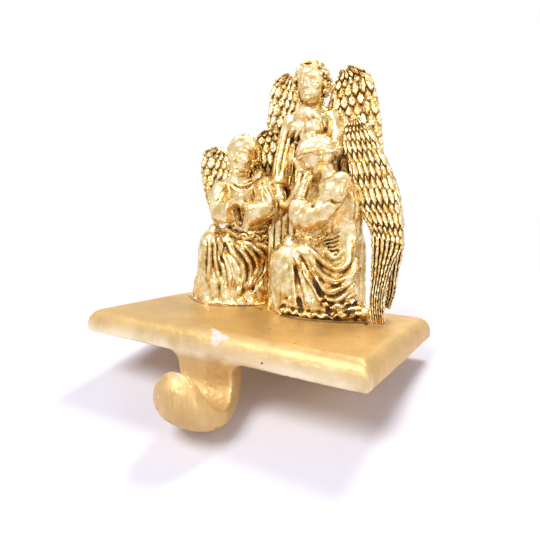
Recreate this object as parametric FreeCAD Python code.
import FreeCAD, Part
import math
import os
from FreeCAD import Vector

# Everything is in millimetres. X runs along the mantel, the front faces -Y and Z is up.
# The origin is the middle of the plate's underside, which rests on the mantel.

# Plate
plate_width = 114.0
plate_depth = 76.0
plate_thickness = 9.0
edge_roll = 5.0
lip_height = 3.0
lip_round = 1.0

# Hook: a cupped strap that drops behind the lip, turns forward and ends in a round tongue
hook_root_width = 28.0
hook_bend_width = 22.0
hook_tip_width = 6.0
hook_slot_radius = 7.0
hook_drop = 5.0
hook_tip_rise = 4.2
hook_middle_thickness = 8.4
hook_edge_thickness = 4.6
hook_leg_edge = 9.0
hook_dish = 1.1
hook_lean = 4.0
hook_flare = 3.5
hook_flare_height = 4.0
hook_inset = 0.6
hook_embed = 2.0
hook_sections = 22

# Standing figure
standing_x = 5.0
standing_y = 26.0
standing_crown = 110.0
standing_drawn_height = 101.0
head_width = 13.2
head_depth = 14.4
head_height = 16.8
hair_thickness = 1.8

# Kneeling figures
left_kneeler_x = -24.0
left_kneeler_y = 18.0
right_kneeler_x = 26.0
right_kneeler_y = 17.0

# Robes
fold_depth = 0.075
robe_folds = 10
facets_per_fold = 4

# Wings
wing_thickness = 2.2
wing_rim = 2.0
feather_lap = 1.1
wing_cup = 1.5
feathers_across = 4

front_y = -plate_depth / 2
seat_z = plate_thickness


def facet(points):
    return Part.Face(Part.makePolygon(points + [points[0]]))


def axes_about(way, side):
    along = Vector(*way).normalize()
    across = Vector(*side)
    across = (across - along * across.dot(along)).normalize()
    return across, along.cross(across)


def ring(centre, radii, count, way=(0, 0, 1), side=(1, 0, 0), folds=0, depth=0.0, turn=0.0):
    """Points around a centre, square to a way, with folds as a share of the radius."""
    across, up = axes_about(way, side)
    places = []
    for index in range(count):
        angle = 2 * math.pi * (index + 0.5) / count
        swell = 1 + depth * math.cos(folds * angle + turn)
        places.append(Vector(*centre) + across * (radii[0] * swell * math.cos(angle))
                      + up * (radii[1] * swell * math.sin(angle)))
    return places


def skin(rings, flat_ends=True):
    """A closed solid of flat facets through rings that all have as many points."""
    faces = []
    count = len(rings[0])
    for low, high in zip(rings, rings[1:]):
        for index in range(count):
            following = (index + 1) % count
            a, b, c, d = low[index], low[following], high[following], high[index]
            if (a - c).Length <= (b - d).Length:
                faces += [facet([a, b, c]), facet([a, c, d])]
            else:
                faces += [facet([a, b, d]), facet([b, c, d])]
    for end in (rings[0], rings[-1]):
        if flat_ends:
            faces.append(facet(list(end)))
        else:
            middle = sum(end[1:], end[0]) * (1.0 / count)
            for index in range(count):
                faces.append(facet([end[index], end[(index + 1) % count], middle]))
    solid = Part.makeSolid(Part.makeShell(faces))
    if solid.Volume < 0:
        solid.reverse()
    return solid


def between(low, high, share):
    return low + (high - low) * share


def edge_profile(half_width):
    """Half of the plate's section, from the middle of its underside to the middle of its top."""
    lip_top = Vector(half_width, 0, lip_height)
    flat_end = Vector(half_width - edge_roll, 0, plate_thickness)
    centre = Vector(half_width - edge_roll, 0, lip_height)
    rise = plate_thickness - lip_height
    if edge_roll <= rise:
        oval = Part.Ellipse(centre + Vector(0, 0, rise), centre + Vector(edge_roll, 0, 0), centre)
    else:
        oval = Part.Ellipse(centre + Vector(edge_roll, 0, 0), centre + Vector(0, 0, rise), centre)
    diagonal = math.sqrt(0.5)
    roll_middle = oval.parameter(centre + Vector(edge_roll * diagonal, 0, rise * diagonal))
    first, last = sorted([oval.parameter(lip_top), oval.parameter(flat_end)])
    if not first < roll_middle < last:
        first, last = last, first + 2 * math.pi
    roll = Part.ArcOfEllipse(oval, first, last).toShape()
    low = Vector(half_width - lip_round, 0, 0)
    side = Vector(half_width, 0, lip_round)
    corner = Vector(half_width - lip_round, 0, lip_round)
    lip_middle = corner + Vector(lip_round * diagonal, 0, -lip_round * diagonal)
    return [
        Part.makeLine(Vector(0, 0, 0), low),
        Part.Arc(low, lip_middle, side).toShape(),
        Part.makeLine(side, lip_top),
        roll,
        Part.makeLine(flat_end, Vector(0, 0, plate_thickness)),
    ]


def plate_bar(half_width, length):
    """The plate's section in XZ, run along Y and centred."""
    right = Part.Wire(Part.__sortEdges__(edge_profile(half_width)))
    left = right.mirror(Vector(0, 0, 0), Vector(1, 0, 0))
    outline = Part.Wire(Part.__sortEdges__(right.Edges + left.Edges))
    bar = Part.Face(outline).extrude(Vector(0, length, 0))
    bar.translate(Vector(0, -length / 2, 0))
    return bar.removeSplitter()


def make_plate():
    """Two crossed bars leave a plate with a rolled edge and mitred corners."""
    along_y = plate_bar(plate_width / 2, plate_depth * 1.2)
    along_x = plate_bar(plate_depth / 2, plate_width * 1.2)
    along_x.rotate(Vector(0, 0, 0), Vector(0, 0, 1), 90)
    return along_y.common(along_x)


def hook_station(share):
    """Where the strap's inner face is at a share of its way, and which way is outward there."""
    face_y = front_y + hook_inset
    bend_y = face_y - hook_slot_radius
    leg = hook_embed + hook_drop
    turn = math.pi * hook_slot_radius
    reach = share * (leg + turn + hook_tip_rise)
    if reach <= leg:
        return face_y, hook_embed - reach, 1.0, 0.0
    if reach <= leg + turn:
        angle = (reach - leg) / hook_slot_radius
        out_y, out_z = math.cos(angle), -math.sin(angle)
        return bend_y + out_y * hook_slot_radius, -hook_drop + out_z * hook_slot_radius, out_y, out_z
    rise = reach - leg - turn
    return bend_y - hook_slot_radius, -hook_drop + rise, -1.0, 0.0


def make_hook():
    sections = []
    leg_share = (hook_embed + hook_drop) / (hook_embed + hook_drop + math.pi * hook_slot_radius
                                            + hook_tip_rise)
    for index in range(hook_sections + 1):
        share = index / hook_sections
        y, z, out_y, out_z = hook_station(share)
        bend = min(max((share - leg_share) / (0.5 - leg_share), 0.0), 1.0)
        half_width = between(hook_root_width, hook_bend_width, bend) / 2
        tongue = max((share - 0.5) / 0.5, 0.0)
        full = hook_bend_width / 2
        half_width = min(half_width, hook_tip_width / 2 + (full - hook_tip_width / 2)
                         * max(1 - tongue ** 2, 0.0) ** 0.75)
        slim = 1 - 0.45 * tongue ** 3
        flare = hook_flare * max(1 + min(z, 0.0) / hook_flare_height, 0.0) ** 2 if out_z == 0 else 0.0
        if out_y < 0:
            flare = 0.0
        half_width += flare
        lean = hook_lean * bend * (1 - 0.4 * tongue ** 2)
        inner, outer = [], []
        for step in range(7):
            across = -1 + step / 3
            height = hook_dish * bend * (1 - across ** 2) * (1 - tongue)
            inner.append(Vector(lean + across * half_width, y + out_y * height, z + out_z * height))
        for step in range(9):
            across = math.cos(math.pi * step / 8)
            crown = math.sqrt(1 - across ** 2) ** 0.9
            edge = between(hook_leg_edge, hook_edge_thickness, bend) * 0.75
            height = between(edge, hook_middle_thickness, crown) * slim + flare
            spread = half_width * (1 - 0.03 * crown)
            outer.append(Vector(lean + across * spread, y + out_y * height, z + out_z * height))
        sections.append(inner + outer)
    return skin(sections, flat_ends=False)


def make_base():
    """Plate and hook, one casting."""
    return make_plate().fuse(make_hook())


def robe(rows, folds=robe_folds, turn=0.0, side=(1, 0, 0)):
    """Cloth through rows of height, centre x, centre y, half width, half depth and fold share."""
    rings = []
    for height, x, y, half_width, half_depth, share in rows:
        rings.append(ring((x, y, height), (half_width, half_depth), folds * facets_per_fold,
                          side=side, folds=folds, depth=fold_depth * share, turn=turn))
    return skin(rings)


def limb(route, radii, count=10):
    """A round-ended limb or sleeve through a route, with one radius for each point."""
    places = [Vector(*point) for point in route]
    last = len(places) - 1
    rings = []
    for index, place in enumerate(places):
        way = (places[min(index + 1, last)] - places[max(index - 1, 0)]).normalize()
        side = Vector(0, 0, 1).cross(way)
        if side.Length < 0.2:
            side = Vector(1, 0, 0)
        radius = radii[index]
        caps = ((0.35, 0.95), (0.8, 0.6))
        if index == 0:
            for share, back in caps:
                rings.append(ring(place - way * radius * back, [radius * share] * 2, count, way, side))
        rings.append(ring(place, [radius] * 2, count, way, side))
        if index == last:
            for share, on in reversed(caps):
                rings.append(ring(place + way * radius * on, [radius * share] * 2, count, way, side))
    return skin(rings)


def egg(centre, radii, way=(0, 0, 1), side=(1, 0, 0), count=12, levels=6, folds=0, depth=0.0):
    """A rounded mass, such as a head, a hand or gathered hair."""
    rings = []
    axis = Vector(*way).normalize()
    for level in range(levels + 1):
        lift = -math.pi / 2 + math.pi * (level + 0.35) / (levels + 0.7)
        rings.append(ring(Vector(*centre) + axis * (radii[2] * math.sin(lift)),
                          (radii[0] * math.cos(lift), radii[1] * math.cos(lift)),
                          count, way, side, folds, depth))
    return skin(rings)


def rail(points, stops):
    curve = Part.BSplineCurve()
    curve.interpolate([Vector(*point) for point in points])
    first, last = curve.FirstParameter, curve.LastParameter
    return [curve.value(between(first, last, index / (stops - 1))) for index in range(stops)]


def wing(inner, outer, rows, facing=1, facets_per_row=3, facets_across=7):
    """A feathered wing between two edges that run from the top to the tip."""
    stops = rows * facets_per_row + 1
    inner_rail = rail(inner, stops)
    outer_rail = rail(outer, stops)
    rings = []
    for index in range(stops):
        share = index / (stops - 1)
        before, after = max(index - 1, 0), min(index + 1, stops - 1)
        down = inner_rail[after] + outer_rail[after] - inner_rail[before] - outer_rail[before]
        span = outer_rail[index] - inner_rail[index]
        normal = span.cross(down).normalize() * facing
        lapping = (share * rows * 0.999) % 1.0
        front, back = [], []
        for step in range(facets_across + 1):
            across = step / facets_across
            rib = abs(math.sin(math.pi * feathers_across * across))
            fullness = math.sqrt(math.sin(math.pi * min(max(across, 0.03), 0.97)))
            body = wing_thickness * between(0.55, 1.0, fullness)
            rim = wing_rim * math.exp(-((1 - across) / 0.2) ** 2) * (1 - 0.6 * share)
            bow = wing_cup * (1 - (2 * across - 1) ** 2)
            relief = feather_lap * lapping * between(0.5, 1.0, rib)
            middle = between(inner_rail[index], outer_rail[index], across) - normal * bow
            front.append(middle + normal * (body / 2 + rim + relief))
            back.append(middle - normal * (body / 2 + 0.4 * relief))
        rings.append(front + back[::-1])
    return skin(rings, flat_ends=False)


def head_and_hair(x, y, height, forward, bun=None, curls=()):
    """Head, a plain nose, parted hair and, where it is worn so, a bun and curls."""
    ahead = Vector(*forward).normalize()
    side = (-ahead.y, ahead.x, 0)
    centre = Vector(x, y, height)
    head = (head_width / 2, head_depth / 2, head_height / 2)
    hair = (head_width / 2 + hair_thickness, head_depth / 2 + hair_thickness / 2, head_height / 2)
    crown = centre - ahead * hair_thickness + Vector(0, 0, hair_thickness)
    nose = centre + ahead * (head_depth / 2) - Vector(0, 0, head_height * 0.06)
    pieces = [
        egg(centre, head, side=side),
        egg(crown, hair, way=ahead * -0.25 + Vector(0, 0, 1), side=side, count=18, levels=6,
            folds=9, depth=0.05),
        egg(nose, (1.0, 1.5, 2.2), side=side, count=6, levels=3),
    ]
    if bun:
        pieces.append(egg(bun, (3.2, 3.0, 3.4), side=side, count=8, levels=4))
    for curl in curls:
        pieces.append(egg(curl, (2.0, 2.2, 2.6), side=side, count=6, levels=3))
    return pieces


def placed(pieces, x, y):
    """The pieces of a figure, moved to its place on the plate."""
    for piece in pieces:
        piece.translate(Vector(x, y, seat_z))
    return pieces


def standing_angel():
    """Stands behind the other two, one arm down at her side, wings folded behind her."""
    head_z = standing_crown - seat_z - head_height / 2 - hair_thickness / 2
    rise = (standing_crown - seat_z) / standing_drawn_height

    def tall(points):
        return [(x, y, z * rise) for x, y, z in points]

    rows = [
        (0, -2, 0, 18.5, 11.5, 1.0), (13, -2.4, 0, 17.2, 10.6, 1.1), (31, -3, 0, 16.2, 10.0, 1.0),
        (46, -2, 0, 13.7, 9.2, 0.8), (58, 0.4, 0.4, 9.6, 7.8, 0.5), (66, 0.6, 0.8, 8.6, 7.0, 0.3),
        (70, 0.5, 0.4, 9.4, 8.0, 0.5), (75, 0.3, -0.6, 9.8, 8.2, 0.2), (80, 0, 0, 10.4, 6.6, 0),
        (83, 0, 0.2, 7.0, 5.2, 0), (86, 0, 0, 3.8, 3.8, 0), (90, 0, -1, 3.5, 3.6, 0),
    ]
    pieces = [
        robe([(row[0] * rise, *row[1:]) for row in rows]),
        limb(tall([(-9, 0, 79), (-11.6, -1.5, 69), (-12.3, -4.5, 59), (-10, -8.5, 50)]),
             [3.8, 3.9, 4.1, 3.4]),
        egg(tall([(-8.2, -11, 45.2)])[0], (2.6, 2.8, 3.6), count=8, levels=4),
        limb(tall([(9, 0, 79), (12.6, -1.5, 70), (12.6, -7, 62)]), [3.8, 3.9, 3.4]),
        wing(tall([(10, 6.5, 100), (6.5, 5.5, 92), (5.5, 4, 83), (6, 4, 74), (8, 5, 61),
                   (11, 6, 47), (15, 6, 35)]),
             tall([(13, 7, 101), (21, 8, 97), (25, 8.5, 87), (27.5, 8.5, 75), (28.5, 8.5, 63),
                   (26, 8, 49), (18, 7, 35)]), rows=6),
        wing(tall([(-12, 6.5, 100), (-8, 5.5, 92), (-5.5, 4, 83), (-6, 4, 74), (-8, 5, 61),
                   (-11, 6, 47), (-15, 6, 35)]),
             tall([(-14.5, 7, 101), (-22, 8, 97), (-24.6, 8.5, 89), (-25, 8.5, 78),
                   (-25.5, 8.5, 63), (-24, 8, 49), (-18, 7, 35)]), rows=6, facing=-1),
    ]
    curls = [(7.4, 0, head_z - 5), (7.6, 1, head_z - 9), (-7.2, 1, head_z - 5), (-6.4, 2, head_z - 9)]
    pieces += head_and_hair(0, -2, head_z, (0.1, -1, -0.1), curls=curls)
    return placed(pieces, standing_x, standing_y)


def left_kneeler():
    """Kneels facing the front, one knee raised, with both hands at her breast."""
    pieces = [
        robe([
            (0, -2.5, 0, 17.5, 14.0, 0.8), (5, -2, 0.5, 15.0, 12.6, 1.1), (15, -0.5, 1, 13.0, 11.5, 1.2),
            (24, 1.8, 2, 13.6, 10.6, 0.8), (32, 2.8, 2, 11.8, 8.4, 0.6), (36, 2.8, 1.4, 10.8, 7.2, 0.2),
            (43, 1.6, -0.2, 11.0, 7.2, 0), (49, 0, -1.2, 10.2, 6.2, 0), (53, 0, -1.6, 5.6, 4.4, 0),
            (56, 1.4, -2.2, 3.4, 3.4, 0), (60, 2.6, -3.4, 3.2, 3.2, 0),
        ]),
        robe([
            (0, -9.5, -5, 12.0, 9.8, 1.0), (4, -9.5, -5.6, 10.0, 8.6, 1.3), (13, -10, -6.6, 7.8, 7.2, 1.3),
            (22, -10.4, -7.6, 6.8, 6.4, 1.0), (28, -10.2, -7.6, 5.6, 5.8, 0.5), (32, -9.6, -6.8, 3.4, 3.8, 0),
        ], folds=8, turn=1.0),
        limb([(0, 3, 21), (-5, -2, 25), (-9.6, -6.6, 26)], [9.0, 7.2, 5.6], count=12),
        limb([(-8.6, -3.5, 47.5), (-9.2, -8, 39.6), (-5, -12, 39.2), (2.5, -13.6, 45), (6, -14, 49)],
             [4.0, 4.4, 4.2, 2.2, 1.6]),
        limb([(8.2, 1, 49), (10.6, -4.5, 39), (5.5, -10.5, 38), (-1.5, -12.8, 42.5)],
             [4.0, 4.4, 4.6, 2.2]),
        wing([(-12, 2, 68.5), (-7, 2, 64), (-6, 2, 57), (-7, 2, 49), (-9, 3, 41), (-12, 4, 33)],
             [(-14, 3, 69), (-22, 4.5, 67.5), (-24.8, 5, 60), (-24, 5, 52), (-21, 5, 43),
              (-16.5, 5, 33)], rows=5, facing=-1),
        wing([(6, 9, 76.5), (1.5, 8, 72), (3, 7, 65), (5, 6, 55), (6, 7, 46), (6, 3, 31)],
             [(9, 10, 77), (13, 11, 74), (14, 12, 66), (14, 12, 55), (13, 10, 45), (10, 4.5, 31)],
             rows=5),
    ]
    pieces += head_and_hair(3.6, -5, 62, (0.1, -1, -0.1), bun=(10, 0, 59))
    return placed(pieces, left_kneeler_x, left_kneeler_y)


def right_kneeler():
    """Kneels turned to the middle, head bowed over her joined hands."""
    pieces = [
        robe([
            (0, -3, 0.4, 15.0, 13.0, 0.8), (5, -2.7, 0.4, 11.8, 11.6, 1.1), (15, -2.0, 0.6, 10.0, 10.2, 1.0),
            (24, -1.7, 0.6, 9.1, 9.2, 0.8), (32, -0.9, 0.3, 7.7, 7.2, 0.8), (36, -0.5, -0.4, 7.4, 6.6, 0.3),
            (44, -1.4, -2.6, 8.0, 7.4, 0), (50, -2.8, -4, 8.0, 6.8, 0), (54, -4.4, -5, 5.6, 4.8, 0),
            (57.5, -7.2, -6.2, 3.8, 3.8, 0),
        ]),
        robe([
            (0, -17.5, -6.6, 12.5, 8.2, 1.0), (4, -18.5, -6.8, 10.2, 7.4, 1.3), (13, -20.4, -7.2, 8.0, 6.8, 1.3),
            (20, -21.6, -7.4, 6.8, 6.2, 1.0), (25, -21.6, -7.2, 5.2, 5.4, 0.4), (29, -20.8, -6.8, 3.0, 3.2, 0),
        ], folds=8, turn=0.5),
        robe([
            (0, -8, -4.5, 14.0, 9.5, 1.0), (8, -8.5, -4.5, 12.5, 8.0, 1.2), (18, -9.5, -4, 11.0, 7.0, 1.0),
            (26, -10, -3.5, 9.5, 5.5, 0.4),
        ], folds=9),
        limb([(-2.5, 0.2, 19.5), (-11, -4, 22.8), (-20.8, -7, 22)], [9.0, 8.0, 6.2], count=12),
        limb([(0, -8, 49.5), (-3.6, -12.2, 41), (-9.4, -14.6, 35.8), (-14.6, -14.4, 38),
              (-15.6, -13.8, 48), (-14, -13.2, 56)], [4.8, 5.0, 4.4, 3.8, 2.8, 2.0]),
        limb([(4, -2, 3), (12, -4, 3.4)], [4.2, 2.8]),
        wing([(-2, 5, 77), (-4.5, 4, 71), (-0.5, 1, 59), (5.2, -1.5, 43.6), (11.4, -3.5, 33),
              (13.4, -5.5, 19.5), (14.2, -7, 8.5), (16, -9, -2)],
             [(1, 5.5, 78.5), (6.6, 5, 71.7), (14, 4, 59), (20, 2, 44), (22.5, 0, 30),
              (20.2, -3, 21), (19.2, -6, 11), (20.5, -8.4, -2)], rows=7),
        wing([(0, 13, 77), (-1, 12, 69), (2, 11, 57), (8, 10, 44), (14, 9, 30), (15, 8, 19),
              (15, 6, 9), (16, 5, 4)],
             [(3, 12, 77), (7, 11, 69.5), (14.6, 11, 56), (18.8, 10, 44), (20.8, 9, 29.7),
              (20, 8, 19), (19.3, 7, 9.4), (18, 5, 3.5)], rows=7),
    ]
    pieces += head_and_hair(-10.6, -7.6, 60.4, (-0.84, -0.5, -0.35), bun=(-2.5, -4.5, 60))
    return placed(pieces, right_kneeler_x, right_kneeler_y)


def make_group():
    """The three figures and their foot, one casting that stands on the plate."""
    pieces = standing_angel() + left_kneeler() + right_kneeler()
    group = pieces[0].multiFuse(pieces[1:])
    size = plate_width * 2
    under = Part.makeBox(size, size, seat_z, Vector(-size / 2, -size / 2, 0))
    return group.cut(under)


if __name__ == "__main__":
    os.makedirs("parts", exist_ok=True)
    base = make_base()
    base.exportStep("parts/base_and_hook.step")
    group = make_group()
    group.exportStep("parts/angel_group.step")
